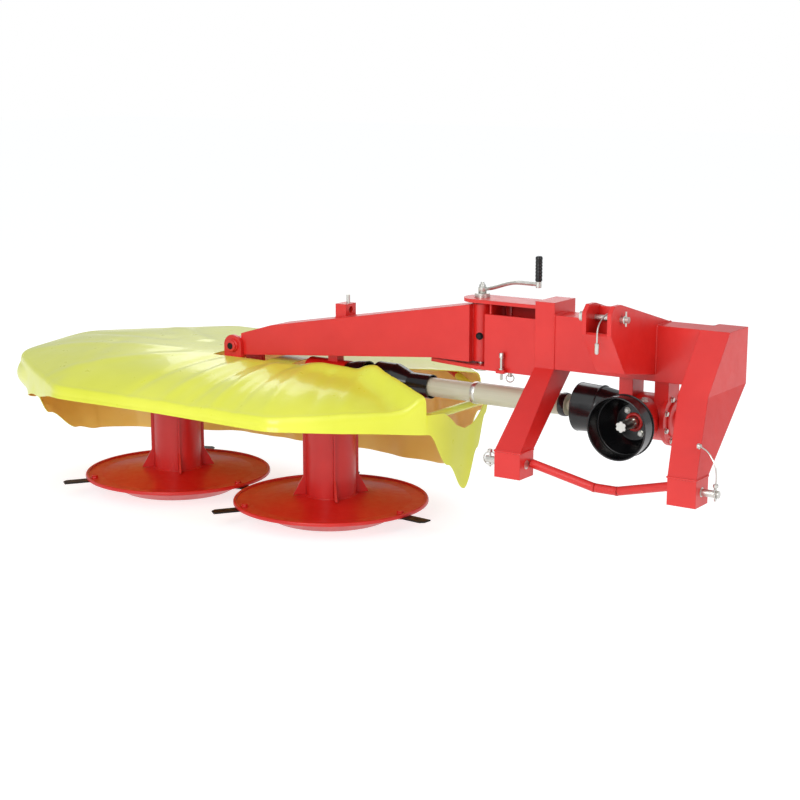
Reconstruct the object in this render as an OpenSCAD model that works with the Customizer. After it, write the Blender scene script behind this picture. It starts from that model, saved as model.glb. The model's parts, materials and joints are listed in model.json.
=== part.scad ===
// Side-mounted mower with two belly drums under a canvas cover, carried on a swinging arm
// behind a three-point headstock. Lengths in millimetres. The floor is z = 0, +X runs from
// the outer end of the cover towards the headstock, and -Y is the direction of travel.

/* [Drums] */
// Distance between the two drum axes
drum_pitch = 750; // [742:2:800]
// Outside diameter of the drum tube
drum_d = 185; // [160:5:220]
// Wall of the drum tube
drum_wall = 7; // [4:1:12]
// Height of the drum's top plate above the floor
drum_top = 405; // [385:1:408]
// Diameter of the cutting disc
disc_d = 720; // [640:10:730]
// Thickness of the cutting disc
disc_t = 6; // [4:1:8]
// Height of the disc's rim above the floor, underside
rim_z = 57; // [52:1:62]
// Height of the disc's middle above the floor, top face
disc_top = 84; // [80:1:95]
// Radius of the circle that the knife tips cut
cut_r = 450; // [420:5:460]
// Width of a knife
knife_w = 48; // [35:1:60]
// Thickness of a knife
knife_t = 5; // [3:1:6]
// Number of knives on a drum
knife_n = 3; // [2:1:4]
// Number of ribs on a drum
rib_n = 4; // [3:1:6]
// Radius of the shaft that carries a drum
drum_shaft_r = 32; // [25:1:38]

/* [Slide dishes] */
// Radius of the flat bottom of a slide dish
dish_flat_r = 220; // [180:5:240]
// Radius of the dish's rim
dish_rim_r = 285; // [260:5:295]
// Height of the dish's rim
dish_h = 42; // [36:1:46]
// Wall of the dish
dish_t = 6; // [4:1:8]
// Radius of the spigot that the dish turns on
spigot_r = 25; // [20:1:30]

/* [Deck] */
// Length of the gear beam
beam_l = 940; // [920:10:980]
// Width of the gear beam
beam_w = 150; // [130:5:170]
// Height of the beam's underside
beam_z0 = 415; // [412:1:418]
// Height of the beam's top face
beam_z1 = 500; // [495:1:503]
// Radius of the cap over the outer drum
cap_r = 85; // [75:1:90]
// Radius of the input housing
input_r = 54; // [48:1:56]
// Tube radius of the cover's frame
hoop_r = 13; // [10:1:15]

/* [Cover] */
// Reach of the cover beyond mid-deck, outer end
cover_out = 1050; // [1040:5:1100]
// Reach of the cover beyond mid-deck, headstock end
cover_in = 970; // [950:5:975]
// Half-width of the cover along its long sides
cover_half_w = 520; // [500:5:560]
// Height of the cover's crown
crown_z = 578; // [574:1:582]
// Height of the cover's edge at mid-width
edge_z = 519; // [515:1:524]
// Thickness of the cover sheet
cover_t = 4; // [3:0.5:6]

/* [Arm] */
// Offset of the arm ahead of the drum axes
arm_y = -30; // [-40:1:-20]
// Width of the arm
arm_w = 110; // [100:2:120]
// Wall of the arm
arm_wall = 7; // [4:1:9]
// Height of the pivot between arm and deck
pivot_z = 613; // [611:1:616]
// Radius of the pivot pin
pivot_r = 15; // [12:1:18]
// Height of the arm's top at the hinge
arm_top_z = 850; // [840:1:855]
// Distance of the hinge from mid-deck
hinge_x = 1040; // [1035:1:1045]
// Radius of the hinge barrel
barrel_r = 33; // [30:1:36]
// Radius of the hinge pin
hinge_r = 16; // [13:1:18]

/* [Headstock] */
// Distance of the hitch's middle from mid-deck
hitch_x = 1673; // [1668:1:1680]
// Distance between the shoulders of the lower pins
hitch_w = 683; // [675:1:690]
// Height of the lower pins
lower_z = 415; // [405:1:425]
// Distance of the lower pins ahead of the drum axes
lower_y = -380; // [-390:1:-370]
// Radius of the lower pins
lower_r = 11; // [10:0.5:14]
// Length of a lower pin beyond its shoulder
lower_l = 54; // [50:1:60]
// Height of the top link's pin
top_z = 895; // [890:1:900]
// Distance of the top link's pin ahead of the drum axes
top_y = -350; // [-360:1:-340]
// Radius of the top link's pin
top_r = 9.5; // [9:0.5:13]
// Depth of the cross beam, front to back
cross_d = 100; // [90:2:110]
// Height of the cross beam's underside
cross_z0 = 668; // [664:1:672]
// Height of the cross beam's top face
cross_z1 = 845; // [840:1:850]
// Wall of the headstock's box sections
frame_wall = 6; // [4:1:8]

/* [Drive] */
// Height of the drive line
drive_z = 540; // [538:1:542]
// Distance from the hinge to each universal joint
joint_reach = 400; // [398:1:404]
// Outer radius of the outer guard tube
guard_r = 36; // [34:1:37]
// Wall of the guard tubes
guard_wall = 2.5; // [2:0.5:3]
// Mouth radius of the guard bell at the power input
bell_r = 100; // [90:1:105]
// Mouth radius of the guard bell at the gearbox's output
out_bell_r = 80; // [76:1:86]
// Radius of the input stub
stub_r = 17.5; // [15:0.5:20]

/* [Hidden] */
$fn = 64;
// Running clearance of a pin in its bore
fit = 0.05;
// Clearance of pieces that seat without a fit
seat = 0.3;
// Overrun of a cut past the face that it leaves
over = 2;
// Swelling of a round bar at a bend
bend_share = 1.06;

// The part's origin lies on the floor under the middle of its box
pin_tip_x = hitch_x + hitch_w / 2 + lower_l;
mid_x = (pin_tip_x - cover_out) / 2;

// Heights and radii of the drum and disc
drum_r = drum_d / 2;
disc_r = disc_d / 2;
disc_shoulder = 16;
disc_hub_r = drum_r + disc_shoulder;
rim_flat_share = 0.66;
rim_flat_r = cut_r * rim_flat_share;
hub_wall = 16;
hub_r = drum_shaft_r + hub_wall;
hub_h = 60;
plate_t = 14;
rib_t = 8;
rib_d = 10;
foot_d = 48;
foot_h = 70;
spigot_gap = 2;
dish_hub_wall = 18;
dish_hub_r = spigot_r + dish_hub_wall;
dish_hub_gap = 6;
knife_seat = 60;
knife_root_r = disc_r - knife_seat;
knife_angle = -5;
knife_chamfer = 14;
drum_sides = [-1, 1];

// Deck
cap_h = 42;
cap_top_share = 0.8;
input_back = 60;
input_fore = 110;
input_x0 = drum_pitch / 2 - input_back;
input_x1 = drum_pitch / 2 + input_fore;
neck_r = 42;
deck_joint_x = hinge_x - joint_reach;
neck_gap = 85;
neck_x1 = deck_joint_x - neck_gap;
guard_cup_r = 62;
guard_cup_back_r = 50;
guard_cup_l = 80;
lug_t = 14;
lug_r = 40;
lug_gap = 1;
stop_fore = 30;
stop_x = drum_pitch / 2 + stop_fore;
stop_w = 40;
yoke_r = 18;
beam_round = 12;
hoop_in = 26;
hoop_lift = 1.5;
arm_root_drop = 30;
cross_tube_x = 240;
shaft_room = 20;

// Cover
cover_end_w = 200;
cover_side_l = 500;
cover_slope = 0.085;
cover_flare = 14;
crown_share = 0.6;
crown_w_share = 0.25;
hem_front_z = 430;
hem_rear_z = 112;
tip_in_z = 195;
tip_out_z = 150;
hem_out_front_z = 320;
hem_out_rear_z = 130;
hem_in_front_z = 415;
hem_flap_z = 430;
hem_in_rear_z = 490;
hem_turn_z = 320;
flap_share = 0.5;
tip_out_share = 0.3;
slot_z = 480;
slot_w = 78;
slot_back = 105;
slot_splay = 150;
arm_hole_x0 = -85;
arm_hole_x1 = 165;
arm_hole_w = 166;

// Arm
arm_tip_x = 30;
arm_tip_z0 = 580;
arm_tip_z1 = 660;
arm_shoulder_x = 170;
arm_shoulder_z = 702;
arm_heel_x = 870;
arm_heel_z = 655;
arm_end_x = hinge_x - barrel_r / 2;
eye_r = 30;
tab_x = 470;
tab_l = 46;
tab_w = 60;
tab_h = 44;
tab_pin_r = 7;
tab_pin_h = 32;
tab_hole_r = 12;

// Hinge head
head_t = 12;
head_gap = 8;
head_w = 124;
head_top0 = arm_top_z + head_gap;
head_low1 = arm_heel_z - head_gap;
head_web_t = 10;
head_rear_gap = 88;
head_front_gap = 48;
head_tongue_l = 190;
head_tongue_w = 44;
head_slot = 34;
pin_head_r = 26;
pin_head_h = 14;
lever_r = 7;
lever_rise = 44;
lever_x1 = 120;
lever_x2 = 216;
boss_share = 1.4;
boss_h_share = 3;
grip_r = 12;
grip_h = 84;
lock_r = 7;
lock_fore = 112;
lock_x = hinge_x + lock_fore;
lock_h = 96;
lock_drop = 26;

// Headstock
cross_y0 = -105;
cross_y1 = cross_y0 + cross_d;
leg_top_z = 885;
leg_back = arm_y + head_w / 2;
left_reach = 385;
left_x0 = hitch_x - left_reach;
left_w = 72;
right_reach = 292;
right_x1 = hitch_x + right_reach;
right_w = 97;
shank_share = 1.3;
block_w = 92;
block_s = 84;
foot_z = lower_z + block_s / 2;
block_x = hitch_w / 2 - block_w / 2;
shank_r = lower_r * shank_share;
tie_r = 14;
tie_drop = 46;
tie_flat = 52;
clevis_gap = 70;
clevis_t = 14;
clevis_round = 44;
clevis_nose = 62;
clevis_foot = 22;
clevis_knee_y = 36;
clevis_knee_z = 172;
clevis_plate_t = 10;
top_pin_l = 150;
top_pin_head_r = 16;
top_pin_head_t = 10;

// Gearbox
case_r = 74;
case_l = 172;
input_neck_r = 66;
case_front_y = -140;
flange_r = 86;
flange_t = 14;
hanger_t = 48;
hanger_w = 110;
hanger_d = 78;
bell_l = 130;
bell_wall = 4;
bell_back_r = 62;
case_x0 = hitch_x - case_l / 2;
case_x1 = hitch_x + case_l / 2;
gear_joint_x = hinge_x + joint_reach;
mouth_reach = 20;
out_mouth_x = gear_joint_x - mouth_reach;
stub_l = 96;
stub_seat = 34;
spline_n = 6;
spline_w = 8;
spline_d = 3;

// Drive shaft
cross_arm_r = 7;
ear_in = 20;
ear_out = 30;
ear_w = 24;
ear_tip = 12;
ear_reach = 36;
end_wall = 14;
outer_end = 62;
outer_lap = 28;
guard_gap = 0.6;
inner_lap = 82;
cone_skirt = 25;
cone_l = 128;
sleeve_l = 72;
outer_x1 = gear_joint_x - outer_end;
outer_x0 = hinge_x - outer_lap;
inner_r = guard_r - guard_wall - guard_gap;
inner_x1 = hinge_x + inner_lap;
cone_x0 = deck_joint_x - cone_skirt;
cone_x1 = deck_joint_x + cone_l;
cone_r0 = 66;
cone_r1 = 42;
cone_wall = 3;
yoke_hub_r = 30;
yoke_hub_l = 14;
neck_l = 14;
output_shaft_r = 20;

// Moves a piece from the mid-deck frame to the part's own frame
module placed() {
    translate([-mid_x, 0, 0]) children();
}

// Cylinder of radius r along X from x0 to x1
module rod_x(r, x0, x1, y, z) {
    translate([x0, y, z]) rotate([0, 90, 0]) cylinder(r = r, h = x1 - x0);
}

// Cylinder of radius r along Y from y0 to y1
module rod_y(r, y0, y1, x, z) {
    translate([x, y1, z]) rotate([90, 0, 0]) cylinder(r = r, h = y1 - y0);
}

// Round bar between two points
module bar(a, b, r) {
    d = b - a;
    l = norm(d);
    translate(a) rotate([0, acos(d[2] / l), atan2(d[1], d[0])]) cylinder(r = r, h = l);
}

// Outline in the XZ plane, y0 to y1
module profile_y(pts, y0, y1) {
    translate([0, y1, 0]) rotate([90, 0, 0]) linear_extrude(y1 - y0) polygon(pts);
}

// Outline in the YZ plane, x0 to x1
module profile_x(pts, x0, x1) {
    translate([x0, 0, 0]) rotate([90, 0, 90]) linear_extrude(x1 - x0) polygon(pts);
}

// Box from its low corner to its high corner
module box(a, b) {
    translate(a) cube(b - a);
}

// DRUMS

// Tube with its top plate, hub and footed ribs
module drum_body(x) {
    rib_top = drum_top - plate_t;
    translate([x, 0, 0]) difference() {
        union() {
            difference() {
                translate([0, 0, disc_top]) cylinder(r = drum_r, h = drum_top - disc_top);
                translate([0, 0, disc_top - over])
                    cylinder(r = drum_r - drum_wall, h = drum_top - disc_top - plate_t + over);
            }
            translate([0, 0, drum_top - hub_h]) cylinder(r = hub_r, h = hub_h);
            for (i = [0 : rib_n - 1]) rotate([0, 0, i * 360 / rib_n + 360 / rib_n / 2])
                profile_y([
                    [drum_r - drum_wall / 2, disc_top], [drum_r + foot_d, disc_top],
                    [drum_r + rib_d, disc_top + foot_h], [drum_r + rib_d, rib_top],
                    [drum_r - drum_wall / 2, rib_top]
                ], -rib_t / 2, rib_t / 2);
        }
        translate([0, 0, drum_top - hub_h - over]) cylinder(r = drum_shaft_r + fit, h = hub_h + 2 * over);
    }
}

// Conical cutting disc with a flat rim, and the spigot that its slide dish turns on
module disc_body(x) {
    translate([x, 0, 0]) rotate_extrude() polygon([
        [0, disc_top], [disc_hub_r, disc_top], [rim_flat_r, rim_z + disc_t], [disc_r, rim_z + disc_t],
        [disc_r, rim_z], [rim_flat_r, rim_z], [disc_hub_r, disc_top - disc_t], [spigot_r, disc_top - disc_t],
        [spigot_r, dish_t + spigot_gap], [0, dish_t + spigot_gap]
    ]);
}

// Straight knives under the rim, their outer corners cut back
module knife_set(x) {
    translate([x, 0, rim_z - knife_t]) for (i = [0 : knife_n - 1])
        rotate([0, 0, knife_angle + i * 360 / knife_n]) linear_extrude(knife_t) polygon([
            [knife_root_r, -knife_w / 2], [cut_r - knife_chamfer, -knife_w / 2],
            [cut_r, -knife_w / 2 + knife_chamfer], [cut_r, knife_w / 2], [knife_root_r, knife_w / 2]
        ]);
}

// Free-turning slide dish: flat sole, flared rim and a blind hub
module dish_body(x) {
    hub_top = disc_top - disc_t - dish_hub_gap;
    translate([x, 0, 0]) rotate_extrude() polygon([
        [0, 0], [dish_flat_r, 0], [dish_rim_r, dish_h - dish_t], [dish_rim_r, dish_h],
        [dish_rim_r - dish_t, dish_h], [dish_flat_r - dish_t, dish_t], [dish_hub_r, dish_t],
        [dish_hub_r, hub_top], [spigot_r + fit, hub_top], [spigot_r + fit, dish_t], [0, dish_t]
    ]);
}

module drum_left() { color("red") placed() drum_body(-drum_pitch / 2); }
module drum_right() { color("red") placed() drum_body(drum_pitch / 2); }
module disc_left() { color("red") placed() disc_body(-drum_pitch / 2); }
module disc_right() { color("red") placed() disc_body(drum_pitch / 2); }
module knives_left() { color("black") placed() knife_set(-drum_pitch / 2); }
module knives_right() { color("black") placed() knife_set(drum_pitch / 2); }
module dish_left() { color("red") placed() dish_body(-drum_pitch / 2); }
module dish_right() { color("red") placed() dish_body(drum_pitch / 2); }

// DECK

// Closed gear case that spans both drums
module gear_beam() {
    color("red") placed() translate([-beam_l / 2, 0, 0])
        profile_x([
            [-beam_w / 2, beam_z0 + beam_round], [-beam_w / 2 + beam_round, beam_z0],
            [beam_w / 2 - beam_round, beam_z0], [beam_w / 2, beam_z0 + beam_round],
            [beam_w / 2, beam_z1], [-beam_w / 2, beam_z1]
        ], 0, beam_l);
}

// Domed cap over the outer drum's bearing
module outer_cap() {
    color("red") placed() translate([-drum_pitch / 2, 0, beam_z1]) rotate_extrude() polygon([
        [0, 0], [cap_r, 0], [cap_r, cap_h / 2], [cap_r * cap_top_share, cap_h], [0, cap_h]
    ]);
}

// Bevel housing over the inner drum, its neck, its input stub and the stop under the arm
module input_housing() {
    color("red") placed() union() {
        difference() {
            rod_x(input_r, input_x0, input_x1, arm_y, drive_z);
            box([input_x0 - over, arm_y - input_r, beam_z0], [input_x1 + over, arm_y + input_r, beam_z1]);
        }
        box([input_x0, arm_y - input_r, beam_z1], [input_x1, arm_y + input_r, drive_z]);
        rod_x(neck_r, input_x1, neck_x1, arm_y, drive_z);
        rod_x(yoke_r, neck_x1, deck_joint_x - ear_reach, arm_y, drive_z);
        translate([deck_joint_x, arm_y, drive_z]) rotate([0, 0, 180]) yoke();
        translate([deck_joint_x, arm_y, drive_z - ear_out]) cylinder(r = cross_arm_r, h = 2 * ear_out);
        rod_y(cross_arm_r, arm_y - ear_in, arm_y + ear_in, deck_joint_x, drive_z);
        box([stop_x, arm_y - stop_w / 2, drive_z],
            [stop_x + stop_w, arm_y + stop_w / 2, arm_low(stop_x) - seat]);
    }
}

// Fixed guard cup round the input neck, its back on the housing's face
module housing_guard() {
    color("black") placed() translate([input_x1, arm_y, drive_z]) rotate([0, 90, 0])
        bell(guard_cup_r, guard_cup_back_r, guard_cup_l, neck_r + seat);
}

// Two lugs on the beam that take the arm's pivot pin
module arm_lugs() {
    color("red") placed() for (side = drum_sides) {
        y = arm_y + side * (arm_w / 2 + lug_gap + lug_t / 2);
        difference() {
            union() {
                rod_y(lug_r, y - lug_t / 2, y + lug_t / 2, 0, pivot_z);
                box([-lug_r, y - lug_t / 2, beam_z1], [lug_r, y + lug_t / 2, pivot_z]);
            }
            rod_y(pivot_r + fit, y - lug_t, y + lug_t, 0, pivot_z);
        }
    }
}

// Pin through the lugs and the arm's eye
module pivot_pin() {
    half = arm_w / 2 + lug_gap + lug_t + pin_head_h;
    color("dimgray") placed() rod_y(pivot_r, arm_y - half, arm_y + half, 0, pivot_z);
}

// Shafts that stand out of the beam and carry the drums
module drum_shafts() {
    color("dimgray") placed() for (side = drum_sides)
        translate([side * drum_pitch / 2, 0, drum_top - hub_h - over])
            cylinder(r = drum_shaft_r, h = beam_z0 - drum_top + hub_h + over);
}

// COVER

// Corners of the cover's plan, counter-clockwise from the outer end's front corner
function plan(out, inn, half, end_w, side_l) = [
    [-out, -end_w], [-side_l, -half], [side_l, -half], [inn, -end_w], [inn, arm_y], [inn, end_w * flap_share],
    [inn, end_w], [(inn + side_l) / 2, (end_w + half) / 2], [side_l, half], [-side_l, half],
    [-out, end_w], [-out, end_w * tip_out_share]
];
function raised(pts, z) = [for (p = pts) [p[0], p[1], z]];
function sloped(pts, z, slope) = [for (p = pts) [p[0], p[1], z + slope * p[1]]];

hem_z = [
    hem_out_front_z, hem_front_z, hem_front_z, hem_in_front_z, tip_in_z, hem_flap_z,
    hem_in_rear_z, hem_turn_z, hem_rear_z, hem_rear_z, hem_out_rear_z, tip_out_z
];

// Crown, edge and hem rings of the cover, drawn in by the sheet's thickness for the inner face
function cover_rings(t) = let (
    edge = plan(cover_out - cover_flare - t, cover_in - cover_flare - t, cover_half_w - cover_flare - t,
        cover_end_w - t, cover_side_l),
    crown = plan(cover_out * crown_share, cover_in * crown_share, cover_half_w * crown_w_share,
        cover_end_w * crown_share, cover_side_l * crown_share),
    hem = plan(cover_out - t, cover_in - t, cover_half_w - t, cover_end_w - t, cover_side_l)
) [
    raised(crown, crown_z - t),
    sloped(edge, edge_z - t, cover_slope),
    [for (i = [0 : len(hem) - 1]) [hem[i][0], hem[i][1], hem_z[i]]]
];

// Thin shell between two stacks of rings, closed along the hem
module cover_shell() {
    outer = cover_rings(0);
    inner = cover_rings(cover_t);
    n = len(outer[0]);
    rings = concat([outer[0], outer[1], outer[2]], [inner[2], inner[1], inner[0]]);
    pts = concat([for (ring = rings) each ring], [[0, 0, crown_z], [0, 0, crown_z - cover_t]]);
    last = (len(rings) - 1) * n;
    peak = len(rings) * n;
    walls = [for (k = [0 : len(rings) - 2]) for (i = [0 : n - 1]) let (
        a = k * n + i, b = k * n + (i + 1) % n, c = a + n, d = b + n
    ) each k < len(outer) ? [[a, b, d], [a, d, c]] : [[a, b, c], [b, d, c]]];
    top = [for (i = [0 : n - 1]) [peak, (i + 1) % n, i]];
    under = [for (i = [0 : n - 1]) [peak + 1, last + i, last + (i + 1) % n]];
    polyhedron(pts, concat(walls, top, under));
}

// Opening over the input housing that widens into the sweep of the swinging drive shaft
module shaft_slot() {
    reach = cover_in + slot_back;
    x0 = input_x0 - slot_w / 2;
    back = arm_y + slot_w;
    translate([0, 0, slot_z]) linear_extrude(drive_z) polygon([
        [x0, arm_y - slot_w], [deck_joint_x, arm_y - slot_w], [reach, arm_y - slot_w - slot_splay],
        [reach, arm_y + reach - deck_joint_x + slot_back],
        [deck_joint_x + slot_w - slot_back, back], [x0, back]
    ]);
}

// Canvas cover with its openings for the arm's lugs, the input housing and the drive shaft
module cover() {
    color("yellow") placed() difference() {
        cover_shell();
        shaft_slot();
        box([arm_hole_x0, arm_y - arm_hole_w / 2, edge_z], [arm_hole_x1, arm_y + arm_hole_w / 2, pivot_z]);
    }
}

// Height of the cover's frame at a distance y from the drum axes
function hoop_z(y) = edge_z - cover_t - hoop_r + hoop_lift + cover_slope * y;

// Half-width of the frame's long sides
hoop_half_w = cover_half_w - cover_flare - hoop_in;

// Length that a tube of the frame loses at corner i, where its neighbour turns away
function corner_cut(pts, i) = let (
    n = len(pts),
    before = pts[i] - pts[(i + n - 1) % n],
    after = pts[(i + 1) % n] - pts[i],
    turn = acos(before * after / norm(before) / norm(after))
) hoop_r * tan(turn / 2) + seat;

// Straight tubes that follow the cover's edge and meet at its corners
module cover_frame() {
    low_z = drive_z - guard_r - hoop_r - shaft_room;
    ring = plan(cover_out - cover_flare - hoop_in, cover_in - cover_flare - hoop_in, hoop_half_w,
        cover_end_w - hoop_in / 2, cover_side_l);
    corners = [0, 1, 2, 3, 6, 8, 9, 10];
    pts = [for (i = corners) let (p = ring[i]) [p[0], p[1], p[0] > cover_side_l ? low_z : hoop_z(p[1])]];
    n = len(pts);
    color("red") placed() for (i = [0 : n - 1]) {
        a = pts[i];
        b = pts[(i + 1) % n];
        along = (b - a) / norm(b - a);
        bar(a + along * corner_cut(pts, i), b - along * corner_cut(pts, (i + 1) % n), hoop_r);
    }
}

// Arms that carry the frame's long sides from the beam's flanks
module cover_arms() {
    root_z = beam_z1 - arm_root_drop;
    run = hoop_half_w - hoop_r - beam_w / 2;
    color("red") placed() for (side = drum_sides) for (way = drum_sides) {
        tip_z = hoop_z(way * hoop_half_w);
        lean = hoop_r * abs(tip_z - root_z) / run;
        y0 = way * (beam_w / 2 + seat + lean);
        y1 = way * (hoop_half_w - hoop_r - seat - lean);
        bar([side * cross_tube_x, y0, root_z], [side * cross_tube_x, y1, tip_z], hoop_r);
    }
}

// ARM

// Height of the arm's underside at a distance x from mid-deck
function arm_low(x) = arm_tip_z0 + (arm_heel_z - arm_tip_z0) * (x - arm_tip_x) / (arm_heel_x - arm_tip_x);
function arm_high(x) = arm_shoulder_z
    + (arm_top_z - arm_shoulder_z) * (x - arm_shoulder_x) / (arm_end_x - arm_shoulder_x);

// Side outline of the arm, drawn in by w
function arm_outline(w) = [
    [arm_tip_x + w, arm_tip_z0 + w], [arm_heel_x, arm_heel_z + w], [arm_end_x - w, arm_heel_z + w],
    [arm_end_x - w, arm_top_z - w], [arm_shoulder_x, arm_shoulder_z - w], [arm_tip_x + w, arm_tip_z1 - w]
];

// Tapered box arm with the eye at its tip and the hinge barrel at its root
module arm() {
    half = arm_w / 2;
    color("red") placed() difference() {
        union() {
            difference() {
                profile_y(arm_outline(0), arm_y - half, arm_y + half);
                profile_y(arm_outline(arm_wall), arm_y - half + arm_wall, arm_y + half - arm_wall);
            }
            rod_y(eye_r, arm_y - half, arm_y + half, 0, pivot_z);
            box([0, arm_y - half, pivot_z - eye_r], [arm_tip_x + arm_wall, arm_y + half, pivot_z + eye_r]);
            translate([hinge_x, arm_y, arm_heel_z]) cylinder(r = barrel_r, h = arm_top_z - arm_heel_z);
        }
        rod_y(pivot_r + fit, arm_y - arm_w, arm_y + arm_w, 0, pivot_z);
        translate([hinge_x, arm_y, arm_heel_z - over]) cylinder(r = hinge_r + fit, h = arm_top_z);
    }
}

// Small box bracket on the arm's top, open from end to end
module arm_tab() {
    z0 = arm_high(tab_x - tab_l / 2);
    z1 = arm_high(tab_x + tab_l / 2);
    color("red") placed() difference() {
        profile_y([
            [tab_x - tab_l / 2, z0], [tab_x + tab_l / 2, z1], [tab_x + tab_l / 2, z1 + tab_h],
            [tab_x - tab_l / 2, z1 + tab_h]
        ], arm_y - tab_w / 2, arm_y + tab_w / 2);
        rod_x(tab_hole_r, tab_x - tab_l, tab_x + tab_l, arm_y, z1 + tab_h / 2);
    }
}

// Upright pin on the bracket
module arm_tab_pin() {
    z1 = arm_high(tab_x + tab_l / 2) + tab_h;
    color("silver") placed() translate([tab_x + tab_l / 4, arm_y, z1]) cylinder(r = tab_pin_r, h = tab_pin_h);
}

// HINGE

// Upper and lower plates with the webs that join them to the left leg, and a tongue under the arm
module hinge_head() {
    color("red") placed() difference() {
        union() {
            for (z = [head_low1 - head_t, head_top0]) {
                translate([hinge_x, arm_y, z]) cylinder(r = head_w / 2, h = head_t);
                box([hinge_x, arm_y - head_w / 2, z], [left_x0, arm_y + head_w / 2, z + head_t]);
            }
            box([hinge_x + head_front_gap, arm_y - head_w / 2, head_low1],
                [left_x0, arm_y - head_w / 2 + head_web_t, head_top0 - head_slot]);
            box([hinge_x + head_rear_gap, arm_y + head_w / 2 - head_web_t, head_low1],
                [left_x0, arm_y + head_w / 2, head_top0]);
            translate([hinge_x, arm_y, head_low1 - head_t]) linear_extrude(head_t) polygon([
                [0, -head_w / 2], [0, head_w / 2],
                [-head_tongue_l, head_tongue_w / 2], [-head_tongue_l, -head_tongue_w / 2]
            ]);
        }
        translate([hinge_x, arm_y, head_low1 - head_t - over])
            cylinder(r = hinge_r + fit, h = head_top0 + head_t - head_low1 + head_t + 2 * over);
        translate([lock_x, arm_y, head_low1 - head_t - over])
            cylinder(r = lock_r + fit, h = head_t + 2 * over);
    }
}

// Upright pin through head and barrel, its collar on the upper plate
module hinge_pin() {
    z0 = head_low1 - head_t - pin_head_h;
    z1 = head_top0 + head_t;
    color("silver") placed() union() {
        translate([hinge_x, arm_y, z0]) cylinder(r = hinge_r, h = z1 + pin_head_h - z0);
        translate([hinge_x, arm_y, z1]) cylinder(r = pin_head_r, h = pin_head_h);
    }
}

// Bent bar on the hinge pin's collar, with a boss at each end
module latch_lever() {
    z0 = head_top0 + head_t + pin_head_h;
    boss_h = lever_r * boss_h_share;
    root_z = z0 + boss_h / 2;
    knee_x = hinge_x + lever_x1;
    tip_x = hinge_x + lever_x2;
    tip_z = z0 + lever_rise;
    color("silver") placed() union() {
        translate([hinge_x, arm_y, z0]) cylinder(r = 2 * lever_r, h = boss_h);
        profile_y([
            [hinge_x, root_z - lever_r], [knee_x, tip_z - lever_r], [tip_x, tip_z - lever_r],
            [tip_x, tip_z + lever_r], [knee_x, tip_z + lever_r], [hinge_x, root_z + lever_r]
        ], arm_y - lever_r, arm_y + lever_r);
        translate([tip_x, arm_y, tip_z - boss_h / 2]) cylinder(r = lever_r * boss_share, h = boss_h);
    }
}

// Upright hand grip at the lever's tip
module lever_grip() {
    z0 = head_top0 + head_t + pin_head_h + lever_rise + lever_r * boss_h_share / 2;
    color("black") placed() translate([hinge_x + lever_x2, arm_y, z0]) cylinder(r = grip_r, h = grip_h);
}

// Pin that locks the arm in its working place, with its foot and its knob
module lock_pin() {
    z0 = head_low1 - head_t - lock_drop;
    color("silver") placed() union() {
        translate([lock_x, arm_y, z0]) cylinder(r = lock_r, h = lock_h);
        translate([lock_x, arm_y, head_low1]) cylinder(r = 2 * lock_r, h = lock_r);
    }
}

// HEADSTOCK

// Hollow box beam across the headstock
module cross_beam() {
    x0 = left_x0 + left_w;
    color("red") placed() difference() {
        box([x0, cross_y0, cross_z0], [right_x1 - right_w, cross_y1, cross_z1]);
        box([x0 - over, cross_y0 + frame_wall, cross_z0 + frame_wall],
            [right_x1 + over, cross_y1 - frame_wall, cross_z1 - frame_wall]);
    }
}

// Front edge of a leg at height z, raked from its foot to the height where it turns upright
function leg_front(z, turn) = lower_y - block_s / 2
    + (cross_y0 - lower_y + block_s / 2) * min(1, (z - foot_z) / (turn - foot_z));

// Side outlines of a leg below and beside the cross beam, drawn in by w
function leg_low(turn, w, z0) = [
    [leg_front(z0, turn) + w, z0], [lower_y + block_s / 2 - w, z0],
    [leg_back - w, cross_z0], [leg_front(cross_z0, turn) + w, cross_z0]
];
function leg_high(turn, top, w) = [
    [leg_front(cross_z0, turn) + w, cross_z0], [leg_back - w, cross_z0],
    [leg_back - w, top - w], [leg_front(top - w, turn) + w, top - w]
];

// Four-sided prism whose ends in X lean from foot0, foot1 at height z0 to top0, top1 at height z1
module leg_prism(pts, foot0, foot1, top0, top1, z0, z1) {
    n = len(pts);
    share = function (z) (z - z0) / (z1 - z0);
    left = [for (p = pts) [foot0 + (top0 - foot0) * share(p[1]), p[0], p[1]]];
    right = [for (p = pts) [foot1 + (top1 - foot1) * share(p[1]), p[0], p[1]]];
    polyhedron(concat(left, right), concat(
        [[for (i = [0 : n - 1]) i]], [[for (i = [0 : n - 1]) 2 * n - 1 - i]],
        [for (i = [0 : n - 1]) [(i + 1) % n, i, n + i, n + (i + 1) % n]]
    ));
}

// Hollow leg between its block and the cross beam, upright above the height turn
module leg(foot0, foot1, top0, top1, turn, top_z) {
    w = frame_wall;
    difference() {
        union() {
            leg_prism(leg_low(turn, 0, foot_z), foot0, foot1, top0, top1, foot_z, cross_z0);
            leg_prism(leg_high(turn, top_z, 0), top0, top1, top0, top1, cross_z0, top_z);
        }
        union() {
            leg_prism(leg_low(turn, w, foot_z - over), foot0 + w, foot1 - w, top0 + w, top1 - w,
                foot_z, cross_z0);
            leg_prism(leg_high(turn, top_z, w), top0 + w, top1 - w, top0 + w, top1 - w, cross_z0, top_z);
        }
    }
}

module leg_left() {
    foot = hitch_x - block_x;
    color("red") placed()
        leg(foot - block_w / 2, foot + block_w / 2, left_x0, left_x0 + left_w, cross_z0, leg_top_z);
}

module leg_right() {
    foot = hitch_x + block_x;
    color("red") placed()
        leg(foot - block_w / 2, foot + block_w / 2, right_x1 - right_w, right_x1, cross_z1, cross_z1);
}

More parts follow.
